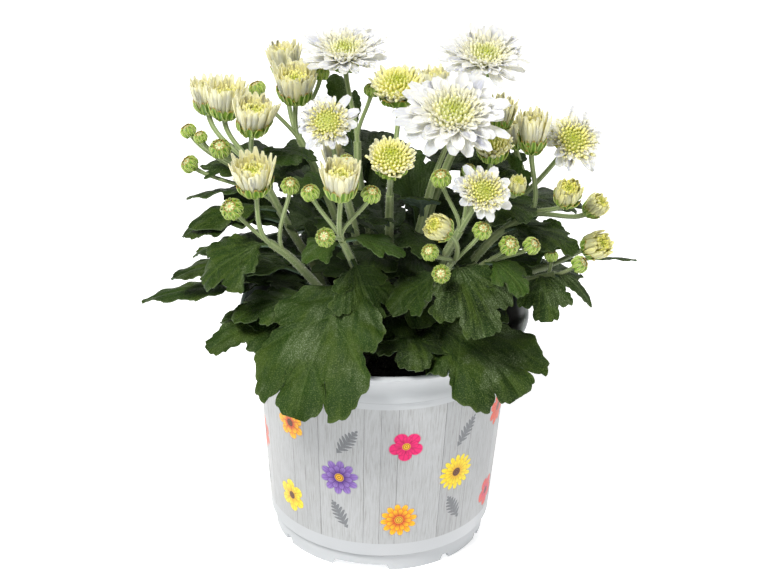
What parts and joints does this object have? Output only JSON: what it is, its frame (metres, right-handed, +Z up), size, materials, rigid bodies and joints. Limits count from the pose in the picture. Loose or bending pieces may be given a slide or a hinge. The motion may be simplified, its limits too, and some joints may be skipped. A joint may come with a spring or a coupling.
{
  "type": "potted multiflora chrysanthemum",
  "caption": "Bushy potted chrysanthemum with small cream-white blooms, opening cups and green buds on branching leafy stems, in a white tapered plastic pot with a flower-printed wall.",
  "frame": {"origin": "on the ground under the middle of the pot, at the centre of its base pad", "axes": "+Z up along the pot's axis, -Y the front that the picture shows, +X to the right of it"},
  "size_m": [0.2223, 0.1736, 0.2275],
  "materials": {
    "pot": "satin",
    "compost": "matte",
    "foliage": "satin",
    "petals_white": "matte",
    "petals_cream": "matte",
    "petals_yellow": "matte"
  },
  "bodies": {
    "root": {"pot": "pot", "compost": "compost", "stem_left_outer": "foliage", "bloom_left_cup_front": "petals_cream", "bloom_left_cup_middle": "petals_cream", "bloom_left_cup_back": "petals_cream", "stem_left_front": "foliage", "bloom_left_stalked_cup": "petals_cream", "stem_left_back": "foliage", "bloom_back_left_cup": "petals_cream", "bloom_back_left_cup_small": "petals_cream", "stem_back_middle": "foliage", "bloom_top_left_open": "petals_white", "stem_middle_front_high": "foliage", "bloom_middle_left_open": "petals_white", "stem_front_umbel": "foliage", "bloom_front_cup": "petals_cream", "stem_centre": "foliage", "bloom_centre_yellow_small": "petals_yellow", "bloom_centre_yellow": "petals_yellow", "stem_centre_right_high": "foliage", "bloom_large_open": "petals_white", "stem_right_front_high": "foliage", "bloom_right_front_open": "petals_white", "stem_right_front": "foliage", "bloom_right_front_opening": "petals_cream", "stem_right_side_front": "foliage", "stem_back_right": "foliage", "bloom_top_right_open": "petals_white", "bloom_back_right_cup": "petals_cream", "bloom_back_right_cup_side": "petals_cream", "stem_right_middle": "foliage", "bloom_right_yellow_cup": "petals_yellow", "bloom_right_small_opening": "petals_cream", "stem_right_cups": "foliage", "bloom_right_tall_cup": "petals_cream", "bloom_right_opening": "petals_cream", "bloom_far_right_opening": "petals_cream", "stem_right_open": "foliage", "bloom_right_open": "petals_white", "bloom_right_back_cup": "petals_cream", "stem_right_low": "foliage", "stem_far_right": "foliage", "bloom_far_right_half_open": "petals_cream", "stem_rear_left": "foliage", "bloom_rear_left_cup": "petals_cream", "stem_rear_right": "foliage", "bloom_rear_right_cup": "petals_cream", "stem_rear_left_low": "foliage", "bloom_rear_left_cup_low": "petals_cream"}
  },
  "joints": []
}
